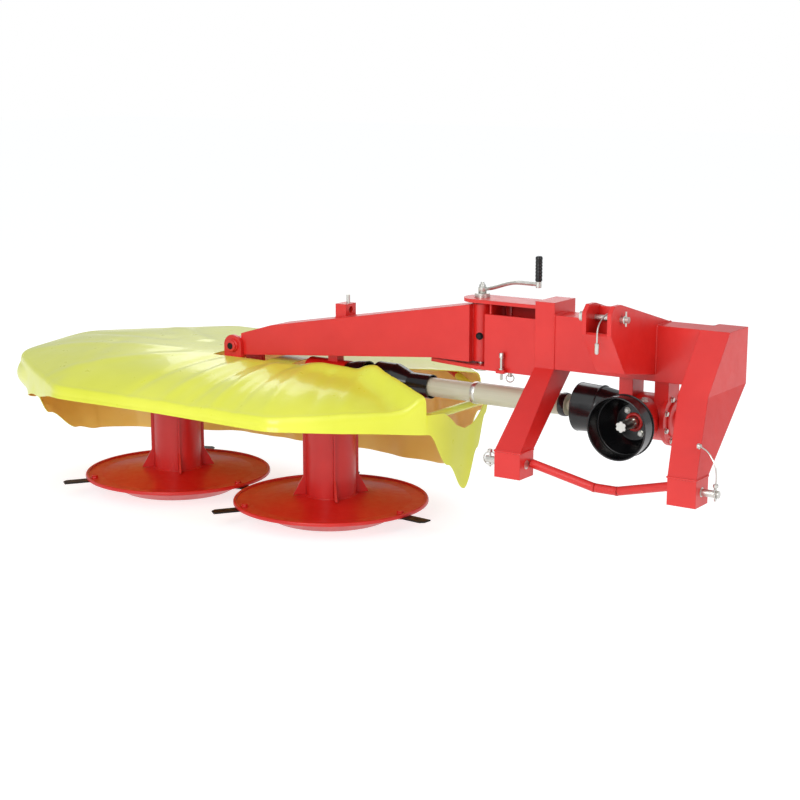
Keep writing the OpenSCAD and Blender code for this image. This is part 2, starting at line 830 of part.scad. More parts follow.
// Blocks at the feet of the legs, bored for the lower pins
module lower_blocks() {
    color("red") placed() for (side = drum_sides) {
        x = hitch_x + side * block_x;
        difference() {
            box([x - block_w / 2, lower_y - block_s / 2, lower_z - block_s / 2],
                [x + block_w / 2, lower_y + block_s / 2, lower_z + block_s / 2]);
            rod_x(shank_r + fit, x - block_w, x + block_w, lower_y, lower_z);
        }
    }
}

// Lower hitch pins, each with a thicker shank in its block
module lower_pins() {
    color("silver") placed() for (side = drum_sides) {
        inner = hitch_x + side * (hitch_w / 2 - block_w);
        face = hitch_x + side * hitch_w / 2;
        outer = face + side * lower_l;
        rod_x(shank_r, min(inner, face), max(inner, face), lower_y, lower_z);
        rod_x(lower_r, min(face, outer), max(face, outer), lower_y, lower_z);
    }
}

// Round tie between the blocks, bowed down to clear the power shaft
module tie_rod() {
    lean = tie_r * tie_drop / (hitch_w / 2 - block_w - tie_flat);
    x0 = hitch_x - hitch_w / 2 + block_w + lean;
    x1 = hitch_x + hitch_w / 2 - block_w - lean;
    z1 = lower_z - tie_drop;
    y = lower_y + lower_r + tie_r + over;
    knees = [
        [x0, y, lower_z], [hitch_x - tie_flat / 2, y, z1],
        [hitch_x + tie_flat, y, z1], [x1, y, lower_z]
    ];
    color("red") placed() union() {
        for (i = [0 : len(knees) - 2]) bar(knees[i], knees[i + 1], tie_r);
        for (i = [1, 2]) translate(knees[i]) sphere(r = tie_r * bend_share);
    }
}

// Two cheeks that hug the cross beam and carry the top link's pin, with a plate across their fronts
module top_clevis() {
    nose = top_y - clevis_nose;
    chin = [nose, top_z - clevis_round];
    knee = [top_y + clevis_knee_y, top_z - clevis_knee_z];
    half = clevis_gap / 2 + clevis_t;
    cheek = [
        [cross_y1, cross_z1], [cross_y0, cross_z1], [cross_y0, cross_z0 + clevis_foot], knee, chin,
        [nose, top_z + clevis_round / 2], [nose + clevis_round / 2, top_z + clevis_round],
        [top_y, top_z + clevis_round]
    ];
    along = (knee - chin) / norm(knee - chin);
    inward = [-along[1], along[0]] * clevis_plate_t;
    color("red") placed() difference() {
        union() {
            for (x = [hitch_x - half, hitch_x + half - clevis_t]) profile_x(cheek, x, x + clevis_t);
            profile_x([chin, knee, knee + inward, chin + inward], hitch_x - half, hitch_x + half);
        }
        rod_x(top_r + fit, hitch_x - 2 * half, hitch_x + 2 * half, top_y, top_z);
    }
}

// Top link's pin with its head
module top_pin() {
    x0 = hitch_x - top_pin_l / 2;
    x1 = hitch_x + top_pin_l / 2;
    color("silver") placed() union() {
        rod_x(top_r, x0, x1, top_y, top_z);
        rod_x(top_pin_head_r, x0 - top_pin_head_t, x0, top_y, top_z);
    }
}

// GEARBOX

// Cast right-angle case with its input neck, flanges and two hangers under the cross beam
module gearbox() {
    color("red") placed() difference() {
        union() {
            rod_x(case_r, case_x0, case_x1, arm_y, drive_z);
            rod_x(flange_r, case_x0, case_x0 + flange_t, arm_y, drive_z);
            rod_x(flange_r, case_x1 - flange_t, case_x1, arm_y, drive_z);
            rod_y(input_neck_r, case_front_y, arm_y, hitch_x, drive_z);
            for (x = [case_x0, case_x1 - hanger_t])
                box([x, arm_y - hanger_w / 2, drive_z],
                    [x + hanger_t, arm_y - hanger_w / 2 + hanger_d, cross_z0]);
            rod_x(output_shaft_r, gear_joint_x + ear_reach, case_x0, arm_y, drive_z);
            translate([gear_joint_x, arm_y, drive_z]) yoke();
        }
        translate([gear_joint_x, arm_y, drive_z - ear_out - over])
            cylinder(r = cross_arm_r + fit, h = 2 * ear_out + 2 * over);
        rod_y(stub_r + fit, case_front_y - over, case_front_y + stub_seat, hitch_x, drive_z);
    }
}

// Open guard bell: back plate, shoulder and flared skirt, mouth at depth l
module bell(r, back_r, l, hole_r) {
    w = bell_wall;
    rotate_extrude() polygon([
        [hole_r, 0], [back_r, 0], [r - w, l / 2], [r, l],
        [r - w, l], [r - 2 * w, l / 2], [back_r - w, w], [hole_r, w]
    ]);
}

module output_bell() {
    color("black") placed() translate([case_x0, arm_y, drive_z]) rotate([0, -90, 0])
        bell(out_bell_r, bell_back_r, case_x0 - out_mouth_x, output_shaft_r + seat);
}

module input_bell() {
    color("black") placed() translate([hitch_x, case_front_y, drive_z]) rotate([90, 0, 0])
        bell(bell_r, bell_back_r, bell_l, stub_r + seat + over);
}

// Splined stub that the tractor's shaft drives
module input_stub() {
    y1 = case_front_y + stub_seat - seat;
    color("silver") placed() difference() {
        rod_y(stub_r, case_front_y - stub_l, y1, hitch_x, drive_z);
        for (i = [0 : spline_n - 1]) translate([hitch_x, 0, drive_z]) rotate([0, i * 360 / spline_n, 0])
            box([stub_r - spline_d, case_front_y - stub_l - over, -spline_w / 2],
                [stub_r + over, case_front_y - stub_l / 4, spline_w / 2]);
    }
}

// DRIVE SHAFT

// Cross of the universal joint in the output bell
module joint_cross() {
    color("silver") placed() union() {
        rod_y(cross_arm_r, arm_y - ear_out, arm_y + ear_out, gear_joint_x, drive_z);
        translate([gear_joint_x, arm_y, drive_z - ear_out]) cylinder(r = cross_arm_r, h = 2 * ear_out);
    }
}

// Yoke at a joint's centre: hub on the +X side, two ears above and below the centre
module yoke() {
    rod_x(yoke_hub_r, ear_reach, ear_reach + yoke_hub_l, 0, 0);
    for (side = drum_sides) {
        z0 = min(side * ear_in, side * ear_out);
        box([-ear_tip, -ear_w / 2, z0], [ear_reach + yoke_hub_l, ear_w / 2, z0 + ear_out - ear_in]);
    }
}

// Outer guard tube with the yoke that grips the cross
module outer_tube() {
    color("silver") placed() difference() {
        union() {
            rod_x(guard_r, outer_x0, outer_x1, arm_y, drive_z);
            rod_x(yoke_r, outer_x1, gear_joint_x - ear_reach, arm_y, drive_z);
            translate([gear_joint_x, arm_y, drive_z]) rotate([90, 0, 180]) yoke();
        }
        rod_x(guard_r - guard_wall, outer_x0 - over, outer_x1 - end_wall, arm_y, drive_z);
        rod_y(cross_arm_r + fit, arm_y - ear_out - over, arm_y + ear_out + over, gear_joint_x, drive_z);
    }
}

// Inner guard tube that slides in the outer one
module inner_tube() {
    yoke_x = deck_joint_x + ear_reach;
    color("silver") placed() difference() {
        union() {
            rod_x(inner_r, cone_x1, inner_x1, arm_y, drive_z);
            rod_x(yoke_r, yoke_x, cone_x1, arm_y, drive_z);
            rod_x(yoke_hub_r, yoke_x, yoke_x + yoke_hub_l, arm_y, drive_z);
        }
        rod_x(inner_r - guard_wall, cone_x1 + end_wall, inner_x1 + over, arm_y, drive_z);
    }
}

// Black cone over the deck-side universal joint, with a sleeve that passes over the outer tube's end
module shaft_cone() {
    w = cone_wall;
    l = cone_x1 - cone_x0;
    color("black") placed() translate([cone_x1, arm_y, drive_z]) rotate([0, -90, 0])
        rotate_extrude() polygon([
            [yoke_r, 0], [cone_r1 - w, 0], [cone_r1 - w, -sleeve_l], [cone_r1, -sleeve_l], [cone_r1, neck_l],
            [cone_r0, l / 2], [cone_r0, l], [cone_r0 - w, l], [cone_r0 - w, l / 2 + w],
            [cone_r1 - w, neck_l], [yoke_r, neck_l]
        ]);
}

gear_beam();
outer_cap();
input_housing();
housing_guard();
arm_lugs();
pivot_pin();
drum_shafts();
cover_frame();
cover_arms();
cover();
drum_left();
disc_left();
knives_left();
dish_left();
drum_right();
disc_right();
knives_right();
dish_right();
arm();
arm_tab();
arm_tab_pin();
hinge_head();
hinge_pin();
latch_lever();
lever_grip();
lock_pin();
cross_beam();
leg_left();
leg_right();
lower_blocks();
lower_pins();
tie_rod();
top_clevis();
top_pin();
gearbox();
output_bell();
input_bell();
input_stub();
joint_cross();
outer_tube();
inner_tube();
shaft_cone();
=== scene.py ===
import json
import math

import bpy
from mathutils import Matrix, Vector


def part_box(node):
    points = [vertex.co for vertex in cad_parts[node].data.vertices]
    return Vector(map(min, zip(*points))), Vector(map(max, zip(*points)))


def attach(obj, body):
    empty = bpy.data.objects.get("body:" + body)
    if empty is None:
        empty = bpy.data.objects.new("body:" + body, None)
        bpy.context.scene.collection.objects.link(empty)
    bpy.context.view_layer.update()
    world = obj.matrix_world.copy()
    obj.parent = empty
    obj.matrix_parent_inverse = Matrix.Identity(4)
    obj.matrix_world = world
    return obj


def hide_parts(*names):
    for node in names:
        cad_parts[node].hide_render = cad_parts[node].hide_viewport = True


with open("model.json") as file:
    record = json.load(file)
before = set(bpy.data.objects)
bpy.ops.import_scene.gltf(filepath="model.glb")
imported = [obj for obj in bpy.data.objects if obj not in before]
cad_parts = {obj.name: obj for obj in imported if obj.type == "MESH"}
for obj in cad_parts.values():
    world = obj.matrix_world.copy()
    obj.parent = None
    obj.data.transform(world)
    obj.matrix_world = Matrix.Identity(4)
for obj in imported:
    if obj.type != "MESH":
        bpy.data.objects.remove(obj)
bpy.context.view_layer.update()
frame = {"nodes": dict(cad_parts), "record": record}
nodes = frame["nodes"]
print("frame loaded with", len(nodes), "nodes")


def boxMiddle(node):
    low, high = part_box(node)
    return (low + high) / 2


deckX = (boxMiddle("drum_left").x + boxMiddle("drum_right").x) / 2  # middle of the deck


# Point in the deck's frame, in metres
def spot(x, y, z):
    return Vector((deckX + x, y, z))


# Camera, floor and light

cameraSpec = {
    "place": (3.45375, -4.769, 1.665), "turn": (78.333, 0, 34.515), "lens": 75.15, "far": 200,
}
lightSpec = {
    "softbox": {"place": (0.6, -3.2, 4.2), "aim": (0.2, 0, 0.4), "size": 4.2, "watts": 45},
    "side": {"place": (5.2, -1.0, 2.6), "aim": (0.6, 0, 0.5), "size": 2.6, "watts": 60},
    "front": {"place": (0.6, -5.2, 2.5), "aim": (-0.1, 0, 0.2), "size": 2.6, "watts": 118},
    "rear": {"place": (-2.6, 3.6, 3.2), "aim": (0, 0, 0.4), "size": 3.2, "watts": 60},
}
floorSpec = {
    "size": 60, "paper": "#F4F4F3", "shade": "#B4B4B6",
    "glow": 0.74,  # white of the paper as the camera sees it, with the shadow kept
    "tableLight": 0.3,  # lit table under the paper, which fills the shade below the cover
}
worldSpec = {"tint": "#F2F5F8", "level": 0.62}
pureWhite = (1, 1, 1, 1)


# sRGB hex to linear colour with its alpha
def linear(hexColour):
    channels = [int(hexColour[i:i + 2], 16) / 255 for i in (1, 3, 5)]
    return [c / 12.92 if c <= 0.04045 else ((c + 0.055) / 1.055) ** 2.4 for c in channels] + [1]


def linkInto(tree, node, links):
    for key, source in links.items():
        tree.links.new(source, node.inputs[key])


# Adds a node, sets sockets or settings by name or number, and links sources to its sockets
def addNode(tree, kind, settings=None, links=None):
    node = tree.nodes.new(kind)
    for key, value in (settings or {}).items():
        if isinstance(key, int) or key in node.inputs:
            node.inputs[key].default_value = value
        else:
            setattr(node, key, value)
    linkInto(tree, node, links or {})
    return node


def aimAt(obj, target):
    obj.rotation_euler = (Vector(target) - obj.location).to_track_quat("-Z", "Y").to_euler()


def placeCamera(spec):
    camera = bpy.data.objects.new("camera", bpy.data.cameras.new("camera"))
    bpy.context.scene.collection.objects.link(camera)
    camera.location = spec["place"]
    camera.rotation_euler = [math.radians(a) for a in spec["turn"]]
    camera.data.lens = spec["lens"]
    camera.data.clip_end = spec["far"]
    bpy.context.scene.camera = camera


def hangLights(specs):
    for name, spec in specs.items():
        lamp = bpy.data.objects.new(name, bpy.data.lights.new(name, "AREA"))
        bpy.context.scene.collection.objects.link(lamp)
        lamp.location = spec["place"]
        lamp.data.size = spec["size"]
        lamp.data.energy = spec["watts"]
        aimAt(lamp, spec["aim"])


# White paper: a matte sheet for the light, and a glowing one for what the camera sees
def layFloor(spec):
    bpy.ops.object.select_all(action="DESELECT")
    bpy.ops.mesh.primitive_plane_add(size=spec["size"])
    floor = bpy.context.object
    floor.name = "floor"
    paper = bpy.data.materials.new("studioPaper")
    paper.use_nodes = True
    tree = paper.node_tree
    tree.nodes.clear()
    path = addNode(tree, "ShaderNodeLightPath")
    seen = addNode(tree, "ShaderNodeMath", {"operation": "MAXIMUM"},
                   {0: path.outputs["Is Camera Ray"], 1: path.outputs["Is Glossy Ray"]})
    seenAll = addNode(tree, "ShaderNodeMath", {"operation": "MAXIMUM"},
                      {0: seen.outputs[0], 1: path.outputs["Is Transmission Ray"]})
    matte = addNode(tree, "ShaderNodeBsdfDiffuse", {"Color": linear(spec["paper"])})
    table = addNode(tree, "ShaderNodeEmission",
                    {"Color": pureWhite, "Strength": spec["tableLight"]})
    lit = addNode(tree, "ShaderNodeAddShader", None, {0: matte.outputs[0], 1: table.outputs[0]})
    shade = addNode(tree, "ShaderNodeBsdfDiffuse", {"Color": linear(spec["shade"])})
    glow = addNode(tree, "ShaderNodeEmission", {"Color": pureWhite, "Strength": spec["glow"]})
    white = addNode(tree, "ShaderNodeAddShader", None, {0: shade.outputs[0], 1: glow.outputs[0]})
    both = addNode(tree, "ShaderNodeMixShader", None,
                   {0: seenAll.outputs[0], 1: lit.outputs[0], 2: white.outputs[0]})
    addNode(tree, "ShaderNodeOutputMaterial", None, {"Surface": both.outputs[0]})
    floor.data.materials.append(paper)


def setWorld(spec):
    world = bpy.data.worlds.new("studio")
    bpy.context.scene.world = world
    world.use_nodes = True
    tree = world.node_tree
    tree.nodes.clear()
    path = addNode(tree, "ShaderNodeLightPath")
    seen = addNode(tree, "ShaderNodeMath", {"operation": "MAXIMUM"},
                   {0: path.outputs["Is Camera Ray"], 1: path.outputs["Is Transmission Ray"]})
    ambient = addNode(tree, "ShaderNodeBackground",
                      {"Color": linear(spec["tint"]), "Strength": spec["level"]})
    white = addNode(tree, "ShaderNodeBackground", {"Color": pureWhite, "Strength": 1})
    mix = addNode(tree, "ShaderNodeMixShader", None,
                  {0: seen.outputs[0], 1: ambient.outputs[0], 2: white.outputs[0]})
    addNode(tree, "ShaderNodeOutputWorld", None, {"Surface": mix.outputs[0]})
    bpy.context.scene.view_settings.view_transform = "Standard"


placeCamera(cameraSpec)
hangLights(lightSpec)
layFloor(floorSpec)
setWorld(worldSpec)
print("stage set")

# Materials, where a noise's scale is 1 over its size in metres

edgeRound = 0.0025  # broken edge of sheared and welded steel
threadPitch = 0.006  # real threads are 1 mm apart, drawn coarser so that they show
threadScale = math.pi / 10 / threadPitch  # wave texture repeats each pi/10 units at scale 1


def newMaterial(name, settings):
    material = bpy.data.materials.new(name)
    material.use_nodes = True
    tree = material.node_tree
    shader = tree.nodes["Principled BSDF"]
    for key, value in settings.items():
        shader.inputs[key].default_value = value
    where = addNode(tree, "ShaderNodeTexCoord").outputs["Object"]
    return material, tree, shader, where


# Gloss alkyd enamel, sprayed on welded steel: saturated red, faint orange peel, soft clouding
def makeRedEnamel():
    material, tree, shader, where = newMaterial(
        "redEnamel", {"IOR": 1.5, "Coat Weight": 0.22, "Coat Roughness": 0.16, "Coat IOR": 1.5})
    cloud = addNode(tree, "ShaderNodeTexNoise", {"Scale": 1 / 0.22, "Detail": 3, "Roughness": 0.6},
                    {"Vector": where})
    ramp = addNode(tree, "ShaderNodeMapRange", {"From Min": 0.35, "From Max": 0.7},
                   {"Value": cloud.outputs["Fac"]})
    colour = addNode(tree, "ShaderNodeMix",
                     {"data_type": "RGBA", 6: linear("#C6150F"), 7: linear("#D01E17")},
                     {0: ramp.outputs[0]})
    smear = addNode(tree, "ShaderNodeTexNoise",
                    {"Scale": 1 / 0.035, "Detail": 4, "Roughness": 0.65}, {"Vector": where})
    rough = addNode(tree, "ShaderNodeMapRange",
                    {"From Min": 0.3, "From Max": 0.75, "To Min": 0.36, "To Max": 0.48},
                    {"Value": smear.outputs["Fac"]})
    peel = addNode(tree, "ShaderNodeTexNoise", {"Scale": 1 / 0.006, "Detail": 2},
                   {"Vector": where})
    soft = addNode(tree, "ShaderNodeBevel", {"samples": 4, "Radius": edgeRound})
    bump = addNode(tree, "ShaderNodeBump", {"Strength": 0.06, "Distance": 0.0006},
                   {"Height": peel.outputs["Fac"], "Normal": soft.outputs[0]})
    linkInto(tree, shader, {"Base Color": colour.outputs[2], "Roughness": rough.outputs[0],
                            "Normal": bump.outputs[0], "Coat Normal": bump.outputs[0]})
    return material


# Zinc-plated steel, turned or rolled: cool grey metal with a faint warm passivation
def makeZincSteel():
    material, tree, shader, where = newMaterial("zincSteel", {"Metallic": 1})
    bloom = addNode(tree, "ShaderNodeTexNoise",
                    {"Scale": 1 / 0.018, "Detail": 4, "Roughness": 0.6}, {"Vector": where})
    colour = addNode(tree, "ShaderNodeMix",
                     {"data_type": "RGBA", 6: linear("#BDBBB2"), 7: linear("#DAD9D4")},
                     {0: bloom.outputs["Fac"]})
    rough = addNode(tree, "ShaderNodeMapRange", {"To Min": 0.22, "To Max": 0.46},
                    {"Value": bloom.outputs["Fac"]})
    linkInto(tree, shader, {"Base Color": colour.outputs[2], "Roughness": rough.outputs[0]})
    return material


# Quenched knife steel, oil-blacked: near black with a dull metal sheen and grinding marks
def makeKnifeSteel():
    material, tree, shader, where = newMaterial("blackedKnifeSteel", {"Metallic": 0.7})
    stretch = addNode(tree, "ShaderNodeMapping", {"Scale": (1, 1, 12)}, {"Vector": where})
    mark = addNode(tree, "ShaderNodeTexNoise", {"Scale": 1 / 0.012, "Detail": 5, "Roughness": 0.7},
                   {"Vector": stretch.outputs[0]})
    colour = addNode(tree, "ShaderNodeMix",
                     {"data_type": "RGBA", 6: linear("#0E0E10"), 7: linear("#2A2A2D")},
                     {0: mark.outputs["Fac"]})
    rough = addNode(tree, "ShaderNodeMapRange", {"To Min": 0.34, "To Max": 0.6},
                    {"Value": mark.outputs["Fac"]})
    linkInto(tree, shader, {"Base Color": colour.outputs[2], "Roughness": rough.outputs[0]})
    return material


# Injection-moulded polypropylene, carbon black: deep black, smooth gloss and faint flow waves
def makeBlackPlastic():
    material, tree, shader, where = newMaterial(
        "blackPolypropylene", {"Base Color": linear("#0B0B0D"), "IOR": 1.49})
    flow = addNode(tree, "ShaderNodeTexNoise", {"Scale": 1 / 0.03, "Detail": 3}, {"Vector": where})
    rough = addNode(tree, "ShaderNodeMapRange", {"To Min": 0.12, "To Max": 0.26},
                    {"Value": flow.outputs["Fac"]})
    soft = addNode(tree, "ShaderNodeBevel", {"samples": 4, "Radius": edgeRound})
    bump = addNode(tree, "ShaderNodeBump", {"Strength": 0.15, "Distance": 0.0008},
                   {"Height": flow.outputs["Fac"], "Normal": soft.outputs[0]})
    linkInto(tree, shader, {"Roughness": rough.outputs[0], "Normal": bump.outputs[0]})
    return material


# Extruded polyethylene guard tube: grey-beige, satin, with faint draw lines along its length
def makeGuardTube():
    material, tree, shader, where = newMaterial("extrudedPolyethylene", {"IOR": 1.51})
    stretch = addNode(tree, "ShaderNodeMapping", {"Scale": (0.02, 1, 1)}, {"Vector": where})
    line = addNode(tree, "ShaderNodeTexNoise", {"Scale": 1 / 0.004, "Detail": 3},
                   {"Vector": stretch.outputs[0]})
    colour = addNode(tree, "ShaderNodeMix",
                     {"data_type": "RGBA", 6: linear("#A9A68E"), 7: linear("#C2BFA9")},
                     {0: line.outputs["Fac"]})
    rough = addNode(tree, "ShaderNodeMapRange", {"To Min": 0.3, "To Max": 0.44},
                    {"Value": line.outputs["Fac"]})
    linkInto(tree, shader, {"Base Color": colour.outputs[2], "Roughness": rough.outputs[0]})
    return material


# PVC-coated polyester sheet, calendered: glossy film over a weave that just shows through
def makeCoatedSheet(name, dark, light):
    material, tree, shader, where = newMaterial(
        name, {"IOR": 1.53, "Coat Weight": 0.3, "Coat Roughness": 0.06,
               "Specular IOR Level": 0.35, "Sheen Weight": 0.05})
    fade = addNode(tree, "ShaderNodeTexNoise", {"Scale": 1 / 0.3, "Detail": 3, "Roughness": 0.55},
                   {"Vector": where})
    ramp = addNode(tree, "ShaderNodeMapRange", {"From Min": 0.35, "From Max": 0.7},
                   {"Value": fade.outputs["Fac"]})
    colour = addNode(tree, "ShaderNodeMix",
                     {"data_type": "RGBA", 6: linear(dark), 7: linear(light)},
                     {0: ramp.outputs[0]})
    handling = addNode(tree, "ShaderNodeTexNoise",
                       {"Scale": 1 / 0.05, "Detail": 5, "Roughness": 0.7}, {"Vector": where})
    rough = addNode(tree, "ShaderNodeMapRange", {"To Min": 0.2, "To Max": 0.42},
                    {"Value": handling.outputs["Fac"]})
    threads = [addNode(tree, "ShaderNodeTexWave",
                       {"bands_direction": axis, "Scale": threadScale}, {"Vector": where})
               for axis in ("X", "Y", "Z")]
    weave = threads[0].outputs["Fac"]
    for other in threads[1:]:
        weave = addNode(tree, "ShaderNodeMath", {"operation": "MULTIPLY"},
                        {0: weave, 1: other.outputs["Fac"]}).outputs[0]
    fine = addNode(tree, "ShaderNodeBump", {"Strength": 0.06, "Distance": 0.0005},
                   {"Height": weave})
    crumple = addNode(tree, "ShaderNodeTexNoise",
                      {"Scale": 1 / 0.09, "Detail": 2, "Distortion": 1.2}, {"Vector": where})
    wrinkle = addNode(tree, "ShaderNodeBump", {"Strength": 0.25, "Distance": 0.004},
                      {"Height": crumple.outputs["Fac"], "Normal": fine.outputs[0]})
    linkInto(tree, shader, {"Base Color": colour.outputs[2], "Roughness": rough.outputs[0],
                            "Normal": wrinkle.outputs[0], "Coat Normal": wrinkle.outputs[0]})
    return material


redEnamel = makeRedEnamel()
zincSteel = makeZincSteel()
knifeSteel = makeKnifeSteel()
blackPlastic = makeBlackPlastic()
guardTube = makeGuardTube()
sheetOuter = makeCoatedSheet("coatedSheetYellow", "#D2D63A", "#DCDF48")
# Inside face: a lighter orange-yellow than the outside, painted light that stands in for light
# shining through the sheet into the shade below the cover
sheetInnerPaintedGlow = makeCoatedSheet("coatedSheetInsidePaintedGlow", "#F6D268", "#FFDD78")
slotMaterial = {
    "red_paint": redEnamel, "zinc_steel": zincSteel, "knife_steel": knifeSteel,
    "black_plastic": blackPlastic, "guard_tube": guardTube, "cover_sheet": sheetOuter,
}
for part in frame["record"]["subparts"]:
    mesh = nodes[part["node"]].data
    mesh.materials.clear()
    mesh.materials.append(slotMaterial[part["material_slot"]])
print("materials made")

# Working with pieces


def clearSelection():
    if bpy.context.object and bpy.context.object.mode != "OBJECT":
        bpy.ops.object.mode_set(mode="OBJECT")
    bpy.ops.object.select_all(action="DESELECT")


def pick(*objs):
    clearSelection()
    for obj in objs:
        obj.select_set(True)
    bpy.context.view_layer.objects.active = objs[0]


def settle(obj):
    pick(obj)
    bpy.ops.object.transform_apply(location=True, rotation=True, scale=True)


# Object from points and faces, on the scene
def newPiece(name, points, faces):
    mesh = bpy.data.meshes.new(name)
    mesh.from_pydata(points, [], faces)
    obj = bpy.data.objects.new(name, mesh)
    bpy.context.scene.collection.objects.link(obj)
    return obj


def faceOutwards(obj):
    pick(obj)
    bpy.ops.object.mode_set(mode="EDIT")
    bpy.ops.mesh.select_all(action="SELECT")
    bpy.ops.mesh.normals_make_consistent(inside=False)
    bpy.ops.object.mode_set(mode="OBJECT")


# Names the piece, gives it its finish and lets it ride on its body
def finishPiece(obj, name, body, slotName, smoothAngle=35):
    settle(obj)
    obj.name = name
    obj.data.name = name
    bpy.ops.object.shade_smooth_by_angle(angle=math.radians(smoothAngle))
    if not obj.data.materials:
        obj.data.materials.append(slotMaterial[slotName])
    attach(obj, body)
    return obj


# Cover sheet

coverSpec = {
    "endHalf": 0.20, "sideHalf": 0.50,  # half-width of the ends, half-length of the long sides
    "cornerRound": 0.07, "endPull": 0.035,  # easing of the plan's corners
    "edgeZ": 0.519, "edgeSlope": 0.085,  # height of the roof's edge, rising to the rear
    "crownX": 0.35, "sag": -0.004,  # level share of the roof, and a sag that here is a swell
    "flare": 0.014, "roll": 0.034, "rollOut": 0.5, "hemFlare": 0.004,  # rolled edge and hem
    "noseX": -0.85, "noseFade": 0.17, "nose": 0.024, "noseRate": 1.15, "tuck": 0.065,  # outer end
    "sway": 0.02, "swayRate": 1.4, "swayLimits": (-0.02, 0.012),
    # waves of the valance: count round it, size, phase, lean on the way down
    "waves": [(9, 1, 0.6, 0), (21, 0.6, 2.2, 0), (38, 0.35, 1.1, 3)],
    "alongCells": 150, "acrossCells": 72, "rollRows": 7, "valanceRows": 20, "thickness": 0.0028,
}
# Hem heights given at places round the plan: x, y, z in the deck's frame
hemMarks = [
    (-1.05, -0.20, 0.32), (-0.76, -0.37, 0.385), (-0.50, -0.52, 0.428), (0.0, -0.52, 0.432),
    (0.45, -0.52, 0.428), (0.75, -0.34, 0.422), (0.97, -0.22, 0.415), (0.97, -0.13, 0.30),
    (0.97, -0.04, 0.20), (0.97, 0.04, 0.33), (0.97, 0.10, 0.44), (0.97, 0.14, 0.50),
    (0.97, 0.20, 0.515), (0.90, 0.245, 0.505), (0.83, 0.29, 0.40), (0.66, 0.41, 0.15),
    (0.50, 0.52, 0.112), (0.10, 0.52, 0.118), (-0.50, 0.52, 0.108), (-0.85, 0.32, 0.12),
    (-1.05, 0.18, 0.13), (-1.05, 0.06, 0.15), (-1.05, -0.10, 0.24),
]
# Creases in the top: start x, y, end x, y, width, height
topCreases = [
    (0.36, -0.108, 0.66, -0.108, 0.042, 0.020), (0.62, -0.108, 0.98, -0.228, 0.040, 0.045),
    (-0.98, -0.16, -0.30, -0.10, 0.034, 0.004), (-0.62, -0.44, -0.20, -0.16, 0.030, 0.004),
    (-0.15, -0.50, -0.05, -0.14, 0.024, -0.006), (0.02, -0.50, 0.10, -0.15, 0.026, 0.007),
    (0.14, -0.50, 0.17, -0.16, 0.020, -0.006), (0.24, -0.50, 0.24, -0.15, 0.022, 0.008),
    (0.34, -0.50, 0.30, -0.15, 0.018, -0.006), (0.46, -0.48, 0.38, -0.15, 0.024, 0.007),
    (0.60, -0.42, 0.50, -0.16, 0.020, -0.006), (0.70, -0.36, 0.62, -0.17, 0.022, 0.006),
    (0.82, -0.28, 0.74, -0.17, 0.018, -0.005), (-0.45, -0.47, -0.62, -0.05, 0.040, -0.004),
    (-0.90, 0.10, -0.45, 0.05, 0.034, -0.004), (-0.70, 0.36, -0.30, 0.10, 0.034, 0.006),
    (-0.10, 0.47, -0.06, 0.12, 0.030, -0.006), (0.20, 0.46, 0.12, 0.12, 0.034, 0.006),
    (0.52, 0.44, 0.26, 0.12, 0.030, -0.005),
]


def smoothStep(t):
    t = min(1, max(0, t))
    return t * t * (3 - 2 * t)


def segmentDistance(p, a, b):
    ab = b - a
    t = (p - a).dot(ab) / ab.length_squared
    return (p - (a + ab * min(1, max(0, t)))).length, t


# Half-width of the cover's edge at x, its corners eased
def coverHalfWidth(x, reachOut, reachIn, half, spec):
    reach = reachIn if x > 0 else reachOut
    t = (abs(x) - spec["sideHalf"]) / (reach - spec["sideHalf"])
    ease = spec["cornerRound"]
    lean = t if t > ease else (t + ease) ** 2 / (4 * ease) if t > -ease else 0
    return half - (half - spec["endHalf"]) * max(0, lean)


# Roof height over the deck, falling from the crown to the edge, with sag and creases
def coverTopZ(x, y, v, reach, crownZ, spec):
    along = max(0, (abs(x) / reach - spec["crownX"]) / (1 - spec["crownX"]))
    t = 1 - (1 - min(1, along) ** 2) * (1 - v * v)
    z = crownZ + (spec["edgeZ"] + spec["edgeSlope"] * y - crownZ) * t
    z -= spec["sag"] * math.sin(math.pi * t)
    p = Vector((x, y))
    for x0, y0, x1, y1, width, height in topCreases:
        a, b = Vector((x0, y0)), Vector((x1, y1))
        d, s = segmentDistance(p, a, b)
        if d < 3 * width:
            taper = smoothStep(0.5 + 2 * s) * smoothStep(2.2 - 1.4 * s)  # fades past its ends
            z += height * math.exp(-(d / width) ** 2) * taper
    return z


# Hem height at a share of the way round the loop, between the marks
def hemHeight(share, marks):
    for (s0, z0), (s1, z1) in zip(marks, marks[1:] + [(marks[0][0] + 1, marks[0][1])]):
        for turn in (0, 1):
            if s0 <= share + turn <= s1:
                return z0 + (z1 - z0) * smoothStep((share + turn - s0) / max(1e-6, s1 - s0))
    return marks[0][1]


